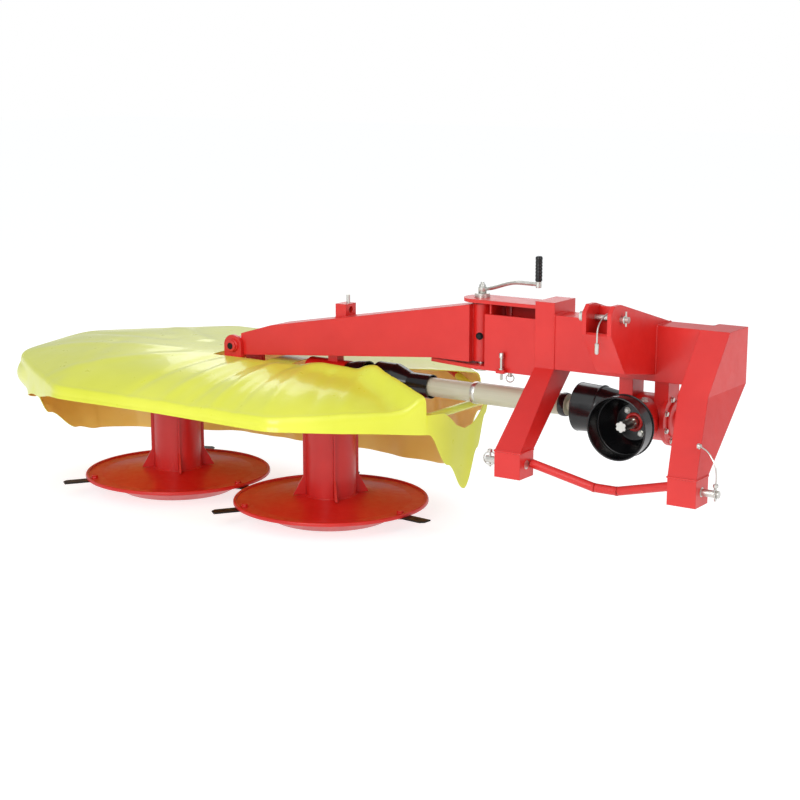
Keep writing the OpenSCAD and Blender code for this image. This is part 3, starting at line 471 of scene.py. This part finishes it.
# Roof as a grid: its points, its faces and the loop of its rim
def makeRoof(spec):
    low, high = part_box("cover")
    flare = spec["flare"]
    reachOut, reachIn = deckX - low.x - flare, high.x - deckX - flare
    half = high.y - flare
    nx, ny = spec["alongCells"], spec["acrossCells"]
    points = []
    for i in range(nx + 1):
        x0 = -reachOut + (reachOut + reachIn) * i / nx
        w = coverHalfWidth(x0, reachOut, reachIn, half, spec)
        reach = reachIn if x0 > 0 else reachOut
        for j in range(ny + 1):
            v = -1 + 2 * j / ny
            x = x0 * (1 - spec["endPull"] * (abs(x0) / reach) ** 6 * abs(v) ** 4)
            y = v * w
            points.append(Vector((x, y, coverTopZ(x, y, v, reach, high.z, spec))))

    def index(i, j):
        return i * (ny + 1) + j

    faces = [(index(i, j), index(i + 1, j), index(i + 1, j + 1), index(i, j + 1))
             for i in range(nx) for j in range(ny)]
    loop = [index(i, 0) for i in range(nx)] + [index(nx, j) for j in range(ny)]
    loop += [index(i, ny) for i in range(nx, 0, -1)] + [index(0, j) for j in range(ny, 0, -1)]
    return points, faces, loop


# Way out of the plan at each point of the rim, evened over its neighbours
def rimOutward(rim):
    n, outward = len(rim), []
    for k in range(n):
        along = sum(((rim[(k + d) % n] - rim[(k - d) % n]) for d in (1, 2, 3, 4)), Vector())
        outward.append(Vector((along.y, -along.x, 0)).normalized())
    return outward


# Point of the rolled edge or of the valance, some rows below a point of the rim
def valancePoint(p, out, share, row, marks, spec):
    roll = spec["roll"]
    if row <= spec["rollRows"]:
        turn = math.pi / 2 * row / spec["rollRows"]
        fall = Vector((0, 0, roll * (1 - math.cos(turn))))
        return p + out * (roll * spec["rollOut"] * math.sin(turn)) - fall
    v = (row - spec["rollRows"]) / spec["valanceRows"]
    top = p.z - roll
    z = top + (hemHeight(share, marks) - top) * v
    wave = 0
    for count, size, phase, lean in spec["waves"]:
        wave += size * math.sin(2 * math.pi * count * share + phase + lean * v)
    sway = spec["sway"] * (top - z) * wave * smoothStep(v * spec["swayRate"])
    least, most = spec["swayLimits"]
    q = p + out * (roll * spec["rollOut"] + spec["hemFlare"] * v + max(least, min(most, sway)))
    nose = smoothStep((spec["noseX"] - p.x) / spec["noseFade"])  # outer end swells, then tucks in
    swell = spec["nose"] * math.sin(math.pi * min(1, v * spec["noseRate"]))
    q += out * nose * (swell - spec["tuck"] * v * v)
    q.z = z
    return q


def makeCover(spec):
    points, faces, loop = makeRoof(spec)
    n = len(loop)
    rim = [points[k].copy() for k in loop]
    outward = rimOutward(rim)
    lengths = [(rim[(k + 1) % n] - rim[k]).length for k in range(n)]
    around = [sum(lengths[:k]) / sum(lengths) for k in range(n)]
    marks = []
    for x, y, z in hemMarks:
        near = min(range(n), key=lambda k: (rim[k].xy - Vector((x, y))).length)
        marks.append((around[near], z))
    marks.sort()
    last = loop
    for row in range(1, spec["rollRows"] + spec["valanceRows"] + 1):
        ring = list(range(len(points), len(points) + n))
        points += [valancePoint(rim[k], outward[k], around[k], row, marks, spec) for k in range(n)]
        for k in range(n):
            m = (k + 1) % n
            faces.append((last[k], ring[k], ring[m], last[m]))
        last = ring

    cover = newPiece("cover_sheet", [spot(*p) for p in points], faces)
    faceOutwards(cover)
    cover.data.materials.append(sheetOuter)
    # The wall's inner face takes the inside colour, a painted glow of light shining through the
    # sheet
    cover.data.materials.append(sheetInnerPaintedGlow)
    wall = cover.modifiers.new("wall", "SOLIDIFY")
    wall.thickness = spec["thickness"]
    wall.offset = -1
    wall.material_offset = 1
    bpy.ops.object.modifier_apply(modifier="wall")
    return cover


# Prism on an outline of corners in the deck's frame, drawn along a move
def makeCutter(corners, move):
    cutter = newPiece("cutter", [spot(*p) for p in corners], [tuple(range(len(corners)))])
    pick(cutter)
    bpy.ops.object.mode_set(mode="EDIT")
    bpy.ops.mesh.select_all(action="SELECT")
    bpy.ops.mesh.extrude_region_move(TRANSFORM_OT_translate={"value": move})
    faceOutwards(cutter)
    return cutter


def cutWith(obj, cutter):
    pick(obj)
    cut = obj.modifiers.new("cut", "BOOLEAN")
    cut.operation = "DIFFERENCE"
    cut.solver = "EXACT"
    cut.object = cutter
    bpy.ops.object.modifier_apply(modifier="cut")
    bpy.data.objects.remove(cutter)


slotSpec = {
    "lug": [(-0.085, -0.113), (0.165, -0.113), (0.165, 0.053), (-0.085, 0.053)],
    "shaft": [(0.276, -0.108), (0.64, -0.108), (1.02, -0.24), (1.02, 0.48), (0.613, 0.048),
              (0.276, 0.048)],
    "lugZ": (0.50, 0.70), "shaftZ": (0.482, 0.70),
    # outline in y and z of the dip in the inner flap, under the shaft
    "dip": [(-0.20, 0.53), (-0.16, 0.49), (-0.12, 0.465), (-0.08, 0.43), (-0.03, 0.41),
            (0.02, 0.418), (0.05, 0.435), (0.09, 0.466), (0.13, 0.50), (0.16, 0.53)],
    "dipX": (0.90, 1.02),
}
coverSheet = makeCover(coverSpec)
for name in ("lug", "shaft"):
    z0, z1 = slotSpec[name + "Z"]
    cutWith(coverSheet, makeCutter([(x, y, z0) for x, y in slotSpec[name]], (0, 0, z1 - z0)))
x0, x1 = slotSpec["dipX"]
cutWith(coverSheet, makeCutter([(x0, y, z) for y, z in slotSpec["dip"]], (x1 - x0, 0, 0)))
finishPiece(coverSheet, "cover_sheet", "deck", "cover_sheet", 50)
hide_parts("cover")
print("cover made with", len(coverSheet.data.polygons), "faces")

# Shop tools for the small pieces


# Point in the deck's frame, in mm
def mm(x, y, z):
    return spot(x / 1000, y / 1000, z / 1000)


def joinPieces(objs):
    pick(*objs)
    if len(objs) > 1:
        bpy.ops.object.join()
    return objs[0]


# Turns a piece made along Z to its axis and sets it at its place
def aimPiece(obj, place, axis):
    turn = Vector(axis).to_track_quat("Z", "Y").to_matrix().to_4x4()
    obj.matrix_world = Matrix.Translation(place) @ turn
    settle(obj)
    return obj


# Closed turned shape along Z, from pairs of radius and height in mm
def turnOnLathe(profile, sides):
    clearSelection()
    radius, height = [v / 1000 for v in profile[0]]
    bpy.ops.mesh.primitive_circle_add(vertices=sides, radius=radius, fill_type="NGON",
                                      location=(0, 0, height))
    obj = bpy.context.object
    settle(obj)
    bpy.ops.object.mode_set(mode="EDIT")
    bpy.ops.mesh.select_all(action="SELECT")
    for nextRadius, nextHeight in profile[1:]:
        nextRadius, nextHeight = nextRadius / 1000, nextHeight / 1000
        rise = (0, 0, nextHeight - height)
        bpy.ops.mesh.extrude_region_move(TRANSFORM_OT_translate={"value": rise})
        grow = nextRadius / radius
        bpy.ops.transform.resize(value=(grow, grow, 1), center_override=(0, 0, nextHeight))
        radius, height = nextRadius, nextHeight
    faceOutwards(obj)
    return obj


# Sawn plate or block between two corners in mm, its edges broken
def makeBlock(low, high, broken):
    clearSelection()
    a, b = mm(*low), mm(*high)
    bpy.ops.mesh.primitive_cube_add(size=1, location=(a + b) / 2, scale=b - a)
    block = bpy.context.object
    settle(block)
    bpy.ops.object.mode_set(mode="EDIT")
    bpy.ops.mesh.select_all(action="SELECT")
    bpy.ops.mesh.bevel(offset=broken / 1000, segments=2)
    bpy.ops.object.mode_set(mode="OBJECT")
    return block


# Round ring on the Z axis, drawn out along it for a band
def rollRing(radius, wire, stretch, sides):
    clearSelection()
    bpy.ops.mesh.primitive_torus_add(major_radius=radius / 1000, minor_radius=wire / 1000,
                                     major_segments=sides, minor_segments=10)
    ring = bpy.context.object
    ring.scale.z = stretch
    settle(ring)
    return ring


# Hexagon bolt with its washer, by the radius of its thread
def makeBolt(size):
    washer = [(2.1, 0), (2.1, 0.3), (1.95, 0.4)]
    head = [(1.8, 0.3), (1.8, 1.35), (1.55, 1.6), (1.3, 1.6), (1.2, 1.5)]
    parts = []
    for shares, sides in ((washer, 20), (head, 6)):
        profile = [(radius * size, height * size) for radius, height in shares]
        parts.append(turnOnLathe(profile, sides))
    return joinPieces(parts)


# Copies of a piece, each with its own mesh, at places with their axes
def placeCopies(master, places):
    copies = []
    for place, axis in places:
        copy = master.copy()
        copy.data = master.data.copy()
        bpy.context.scene.collection.objects.link(copy)
        copies.append(aimPiece(copy, place, axis))
    bpy.data.objects.remove(master)
    return joinPieces(copies)


# Places round an axis, with the axis
def ringOf(count, radius, centre, axis, start=0):
    turn = Vector(axis).to_track_quat("Z", "Y")
    steps = [math.radians(start + 360 * i / count) for i in range(count)]
    spokes = [turn @ Vector((math.cos(a), math.sin(a), 0)) * radius / 1000 for a in steps]
    return [(mm(*centre) + spoke, axis) for spoke in spokes]


# Round wire bent through five or more points in mm; swell gives the radius at each point of a
# straight-sided run
def bendWire(points, radius, closed=False, swell=None):
    clearSelection()
    bpy.ops.curve.primitive_nurbs_path_add()
    wire = bpy.context.object
    spline = wire.data.splines[0]
    if swell:
        spline.type = "POLY"
    spline.points.add(len(points) - len(spline.points))
    for i, place in enumerate(points):
        spline.points[i].co = (*mm(*place), 1)
        spline.points[i].radius = swell[i] if swell else 1
    if not swell:
        spline.order_u = 3
        spline.resolution_u = 6
        spline.use_endpoint_u = not closed
    spline.use_cyclic_u = closed
    wire.data.bevel_depth = radius / 1000
    wire.data.bevel_resolution = 2
    wire.data.use_fill_caps = not closed
    pick(wire)
    bpy.ops.object.convert(target="MESH")
    faceOutwards(wire)
    return wire


weldSpec = {
    "pitch": 5, "ripple": 0.16, "wander": 0.08, "bead": 3.4,
    "foot": {"radius": 94, "z": 84, "corners": 60},
}


# Rippled weld bead along a line of corners in mm
def layWeld(corners, radius, closed=False):
    line = [Vector(c) for c in corners]
    if closed:
        line.append(line[0])
    points = []
    for a, b in zip(line, line[1:]):
        count = max(2, round((b - a).length / weldSpec["pitch"]))
        points += [a + (b - a) * i / count for i in range(count)]
    if not closed:
        points.append(line[-1])
    swell = [1 + weldSpec["ripple"] * (-1) ** i + weldSpec["wander"] * math.sin(1.7 * i)
             for i in range(len(points))]
    return bendWire([tuple(p) for p in points], radius, closed, swell)


# Bolts and nuts

drumX = {"left": -375, "right": 375}
knifeSpec = {"radius": 330, "angles": (-5, 115, 235), "top": 63, "under": 52}
up, down = (0, 0, 1), (0, 0, -1)


# Places on one drum's knives, over or under its rim
def knifeRing(side, level, face):
    places = []
    for angle in knifeSpec["angles"]:
        a = math.radians(angle)
        x, y = knifeSpec["radius"] * math.cos(a), knifeSpec["radius"] * math.sin(a)
        places.append((mm(drumX[side] + x, y, knifeSpec[level]), face))
    return places


boltSets = {
    "gearbox_bolts": {"body": "hitch", "slot": "zinc_steel", "size": 4.5, "places":
                      ringOf(8, 72, (1759, -30, 540), (1, 0, 0), 22.5)
                      + ringOf(8, 75, (1587, -30, 540), (-1, 0, 0))},
    "bell_bolts": {"body": "hitch", "slot": "zinc_steel", "size": 5, "places":
                   ringOf(4, 42, (1673, -144, 540), (0, -1, 0), 35)},
    "filler_plug": {"body": "hitch", "slot": "zinc_steel", "size": 6, "places": [
        (mm(1648, -122, 600.5), (-0.38, 0, 0.925)), (mm(1690, -112, 603.5), (0.26, 0, 0.966))]},
    "drain_plug": {"body": "hitch", "slot": "zinc_steel", "size": 6, "places": [
        (mm(1673, -40, 466), down)]},
    "barrel_bolt": {"body": "arm_body", "slot": "knife_steel", "size": 6, "places": [
        (mm(1049.4, -61.4, 742), (0.29, -0.957, 0))]},
    "knife_bolts_left": {"body": "left_drum", "slot": "red_paint", "size": 7, "places":
                         knifeRing("left", "top", up)},
    "knife_bolts_right": {"body": "right_drum", "slot": "red_paint", "size": 7, "places":
                          knifeRing("right", "top", up)},
    "knife_nuts_left": {"body": "left_drum", "slot": "zinc_steel", "size": 6, "places":
                        knifeRing("left", "under", down)},
    "knife_nuts_right": {"body": "right_drum", "slot": "zinc_steel", "size": 6, "places":
                         knifeRing("right", "under", down)},
    "cap_bolts": {"body": "deck", "slot": "zinc_steel", "size": 4.5, "places":
                  ringOf(6, 52, (-375, 0, 542), up)},
}
for name, spec in boltSets.items():
    bolts = placeCopies(makeBolt(spec["size"]), spec["places"])
    finishPiece(bolts, name, spec["body"], spec["slot"], 30)
print("bolts set")

# Fittings from turned parts, rings, bent wire and blocks


def setTurned(profile, sides, place, axis):
    return aimPiece(turnOnLathe(profile, sides), mm(*place), axis)


def setRing(radius, wire, place, axis, stretch=1, sides=48):
    return aimPiece(rollRing(radius, wire, stretch, sides), mm(*place), axis)


makers = {"turned": setTurned, "ring": setRing, "wire": bendWire, "block": makeBlock}


def makeFittings(specs):
    for name, spec in specs.items():
        parts = [makers[kind](*facts) for kind, *facts in spec["parts"]]
        piece = finishPiece(joinPieces(parts), name, spec["body"], spec["slot"],
                            spec.get("smooth", 35))
        if "replaces" in spec:
            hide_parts(spec["replaces"])


# Linch pin through a hitch pin, with its spring ring
def linchParts(x, y, z, long, ringRadius, lean):
    shank = [(x, y, z + long * share) for share in (-0.45, -0.2, 0, 0.3, 0.5)]
    head = [(5.5, 0), (8, 1.5), (8, 9), (6, 11)]
    return [("wire", shank, 4), ("turned", head, 20, (x, y, z + long * 0.42), up),
            ("ring", ringRadius, 2.2, (x, y, z + long * 0.46 - ringRadius), lean)]


gripProfile = [(8, 0), (11.2, 1.5), (12, 5), (11.4, 9)]
for ridge in range(5):  # finger swells up the grip
    foot = 14 + ridge * 11
    gripProfile += [(11.0, foot), (11.9, foot + 4), (11.9, foot + 6), (11.0, foot + 10)]
gripProfile += [(11.6, 72), (12, 76), (11.2, 80.5), (8.5, 83), (4, 84)]
collarProfile = [(25, -0.2), (25, 4), (22, 6), (22, 13), (20, 14.6), (13, 14.6)]
eyeProfile = [(12.5, 14.5), (12.5, 15), (10, 15.6), (6, 15.2)]
pivotEnds = ((-100, -1), (40, 1))
catchProfile = [(4, -34), (5, -32), (5, 0), (9, 0.5), (9, 5), (5, 5.5), (5, 40), (8, 40.5),
                (8, 54), (6, 57)]
pinsAndClips = {
    "lever_rod": {"body": "hitch", "slot": "zinc_steel", "replaces": "latch_lever", "parts": [
        ("wire", [(1040, -30, 896), (1056, -30, 899), (1084, -30, 905), (1122, -30, 918),
                  (1150, -30, 926), (1172, -30, 929), (1214, -30, 929), (1256, -30, 928.5)], 7),
        ("turned", [(13, 0), (14, 1.5), (14, 19), (12.5, 21)], 32, (1040, -30, 884), up),
        ("turned", [(11, 0), (11, 6), (9.5, 8), (7, 8), (6, 15), (5, 16)], 6,
         (1040, -30, 905), up),
        ("turned", [(8.6, 0), (9.8, 1.5), (9.8, 19.5), (8.6, 21)], 28, (1256, -30, 918), up)]},
    "lever_handle": {"body": "hitch", "slot": "black_plastic", "smooth": 60,
                     "replaces": "lever_grip", "parts": [
                         ("turned", gripProfile, 32, (1256, -30, 938.5), up)]},
    "hinge_nut": {"body": "hitch", "slot": "zinc_steel", "smooth": 30, "parts": [
        ("turned", [(29, -0.3), (29, 10), (26, 12.5)], 6, (1040, -30, 635), down)]},
    "pivot_collars": {"body": "deck", "slot": "red_paint", "smooth": 30, "parts": [
        ("turned", collarProfile, 32, (0, y, 613), (0, way, 0)) for y, way in pivotEnds]},
    "pivot_eyes": {"body": "deck", "slot": "knife_steel", "smooth": 30, "parts": [
        ("turned", eyeProfile, 24, (0, y, 613), (0, way, 0)) for y, way in pivotEnds]},
    "linch_left": {"body": "hitch", "slot": "zinc_steel",
                   "parts": linchParts(1290, -380, 415, 52, 21, (0.25, -1, 0.1))},
    "linch_right": {"body": "hitch", "slot": "zinc_steel",
                    "parts": linchParts(2057, -380, 415, 46, 18, (1, 0.25, 0.1))},
    "safety_wire": {"body": "hitch", "slot": "zinc_steel", "parts": [
        ("wire", [(2057, -380, 437), (2060, -384, 450), (2063, -390, 476), (2058, -392, 506),
                  (2040, -386, 530), (2018, -376, 544), (1999, -370, 548)], 2.4),
        ("turned", [(9, -1), (9, 3), (6, 5), (6, 9), (4, 10)], 16, (1993.5, -370, 548),
         (0.97, 0, 0.23))]},
    "top_clip": {"body": "hitch", "slot": "zinc_steel", "parts": [
        ("wire", [(1680, -350, 884), (1680, -338, 886), (1680, -336, 900), (1680, -346, 909),
                  (1680, -366, 908), (1680, -392, 898), (1680, -414, 880), (1680, -421, 856),
                  (1680, -420, 828)], 2.6),
        ("turned", [(3, -2), (4, 0), (6.5, 2), (6.5, 30), (4, 34)], 16, (1680, -420, 830), down),
        ("ring", 11.5, 2, (1735, -350, 895), (1, 0, 0)),
        ("wire", [(1738, -350, z) for z in (876, 885, 895, 910, 920)], 3.2)]},
    "lock_ring": {"body": "hitch", "slot": "zinc_steel", "parts": [
        ("ring", 13, 2, (1152, -30, 604), (0.5, -1, 0))]},
    # spring catch in front of the hinge head, and the plates that close the head and the clevis
    "catch_bracket": {"body": "hitch", "slot": "red_paint", "parts": [
        ("block", (1146, -116, 634), (1178, -91, 646), 2)]},
    "spring_catch": {"body": "hitch", "slot": "zinc_steel", "parts": [
        ("turned", catchProfile, 24, (1162, -104, 645.5), up)]},
    "head_stiffener": {"body": "hitch", "slot": "red_paint", "parts": [
        ("block", (1101, -83, 646), (1107, 23, 859), 1),
        ("block", (1106, 13, 646), (1129, 22.5, 859), 1)]},
    "clevis_back": {"body": "hitch", "slot": "red_paint", "parts": [
        ("block", (1637, -332, 792), (1709, -322, 928), 2)]},
}
makeFittings(pinsAndClips)
print("pins and clips set")

# Guards, shaft bands, disc rims and gearbox lid

lidProfile = [(59, -0.3), (59, 4), (56, 6.5), (34, 7.5), (30, 13), (24, 14.5), (10, 15)]
guards = {
    "case_lid": {"body": "hitch", "slot": "red_paint", "parts": [
        ("turned", lidProfile, 48, (1759, -30, 540), (1, 0, 0))]},
    "input_seal": {"body": "hitch", "slot": "red_paint", "parts": [
        ("ring", 25, 5.5, (1673, -144, 540), (0, 1, 0))]},
    "bell_lips": {"body": "hitch", "slot": "black_plastic", "smooth": 60, "parts": [
        ("ring", 98, 2.8, (1673, -268, 540), (0, 1, 0), 1, 72),
        ("ring", 97, 2.6, (1673, -206, 540), (0, 1, 0), 1, 72),
        ("ring", 72, 2.2, (1673, -160, 540), (0, 1, 0), 1, 72),
        ("ring", 91, 2.2, (1673, -214, 540), (0, 1, 0), 1, 72),
        ("ring", 78, 2.6, (1422, -30, 540), (1, 0, 0), 1, 72),
        ("ring", 77, 2.4, (1503, -30, 540), (1, 0, 0), 1, 72)]},
    "tube_band": {"body": "outer_shaft", "slot": "zinc_steel", "smooth": 60, "parts": [
        ("ring", 36.5, 2, (1022, -30, 540), (1, 0, 0), 4.5)]},
    "tube_collar": {"body": "outer_shaft", "slot": "black_plastic", "smooth": 60, "parts": [
        ("ring", 36.8, 3, (1364, -30, 540), (1, 0, 0), 4)]},
    "cone_lip": {"body": "inner_shaft", "slot": "black_plastic", "smooth": 60, "parts": [
        ("ring", 64.5, 2.2, (617, -30, 540), (1, 0, 0))]},
    "disc_rim_left": {"body": "left_drum", "slot": "red_paint", "smooth": 60, "parts": [
        ("ring", 353.5, 6, (-375, 0, 63.5), up, 1, 160)]},
    "disc_rim_right": {"body": "right_drum", "slot": "red_paint", "smooth": 60, "parts": [
        ("ring", 353.5, 6, (375, 0, 63.5), up, 1, 160)]},
}
makeFittings(guards)
print("guards set")

# Elbows that close the corners of the cover's frame

frameSpec = {
    "corners": [(-1010, -187), (-500, -480), (500, -480), (930, -187), (930, 187), (500, 480),
                (-500, 480), (-1010, 187)],
    "tube": 13.4, "leg": 34, "bendFrom": 0.55, "bendIn": 0.06,  # shares of the elbow's leg
    "lowX": 500, "low": 471, "edge": 503.5, "slope": 0.085,  # heights of the tubes
    "pocket": 14.6,
}


def frameCorner(x, y):
    level = frameSpec["edge"] + frameSpec["slope"] * y
    return Vector((x, y, frameSpec["low"] if x > frameSpec["lowX"] else level))


corners = [frameCorner(x, y) for x, y in frameSpec["corners"]]
elbows = []
for i, corner in enumerate(corners):
    before = (corners[i - 1] - corner).normalized() * frameSpec["leg"]
    after = (corners[(i + 1) % len(corners)] - corner).normalized() * frameSpec["leg"]
    run = [corner + before, corner + before * frameSpec["bendFrom"],
           corner + (before + after) * frameSpec["bendIn"],
           corner + after * frameSpec["bendFrom"], corner + after]
    elbows.append(bendWire([tuple(p) for p in run], frameSpec["tube"]))
finishPiece(joinPieces(elbows), "frame_elbows", "deck", "red_paint", 60)

# Pocket sewn into the cover's inner end, drawn over the frame's end tube
pocketRun = [corners[2].lerp(corners[3], 0.5), corners[2].lerp(corners[3], 0.9), corners[3].copy(),
             corners[3].lerp(corners[4], 0.1), corners[3].lerp(corners[4], 0.9), corners[4].copy(),
             corners[4].lerp(corners[5], 0.1), corners[4].lerp(corners[5], 0.5)]
framePocket = bendWire([tuple(p) for p in pocketRun], frameSpec["pocket"])
framePocket.data.materials.append(sheetOuter)
finishPiece(framePocket, "frame_pocket", "deck", "cover_sheet", 60)

# Weld beads

hitchWelds = [
    [(1360, -105, 668), (1360, -105, 845), (1360, -5, 845), (1360, -5, 668), (1360, -105, 668)],
    [(1868, -105, 668), (1868, -105, 845)],
    [(1868, -5, 845), (1868, -5, 668), (1868, -105, 668)],
    [(1624, -105, 692), (1624, -105, 845), (1624, -8, 845)],
    [(1722, -105, 692), (1722, -105, 845), (1722, -8, 845)],
    [(1331.5, -422, 457), (1423.5, -422, 457), (1423.5, -338, 457), (1331.5, -338, 457),
     (1331.5, -422, 457)],
    [(1922.5, -422, 457), (2014.5, -422, 457), (2014.5, -338, 457), (1922.5, -338, 457),
     (1922.5, -422, 457)],
    [(1288, -92, 870), (1288, 32, 870)],
    [(1288, -92, 672), (1288, -92, 824)],
    [(1587, -85, 668), (1635, -85, 668), (1635, -7, 668), (1587, -7, 668), (1587, -85, 668)],
    [(1711, -85, 668), (1759, -85, 668), (1759, -7, 668), (1711, -7, 668), (1711, -85, 668)],
]
armWelds = [
    [(1022, -60, 657), (1022, -60, 848)], [(1022, 0, 657), (1022, 0, 848)],
    [(447, -60, 750), (493, -60, 758), (493, 0, 758), (447, 0, 750), (447, -60, 750)],
]
weldSets = (("hitch_welds", "hitch", hitchWelds), ("arm_welds", "arm_body", armWelds))
for name, body, lines in weldSets:
    beads = [layWeld(line, weldSpec["bead"]) for line in lines]
    finishPiece(joinPieces(beads), name, body, "red_paint", 60)
footSpec = weldSpec["foot"]
for side, x in drumX.items():
    angles = [2 * math.pi * i / footSpec["corners"] for i in range(footSpec["corners"])]
    foot = [(x + footSpec["radius"] * math.cos(a), footSpec["radius"] * math.sin(a), footSpec["z"])
            for a in angles]
    drumWeld = layWeld(foot, weldSpec["bead"], True)
    finishPiece(drumWeld, "drum_weld_" + side, side + "_drum", "red_paint", 60)
print("welds laid")
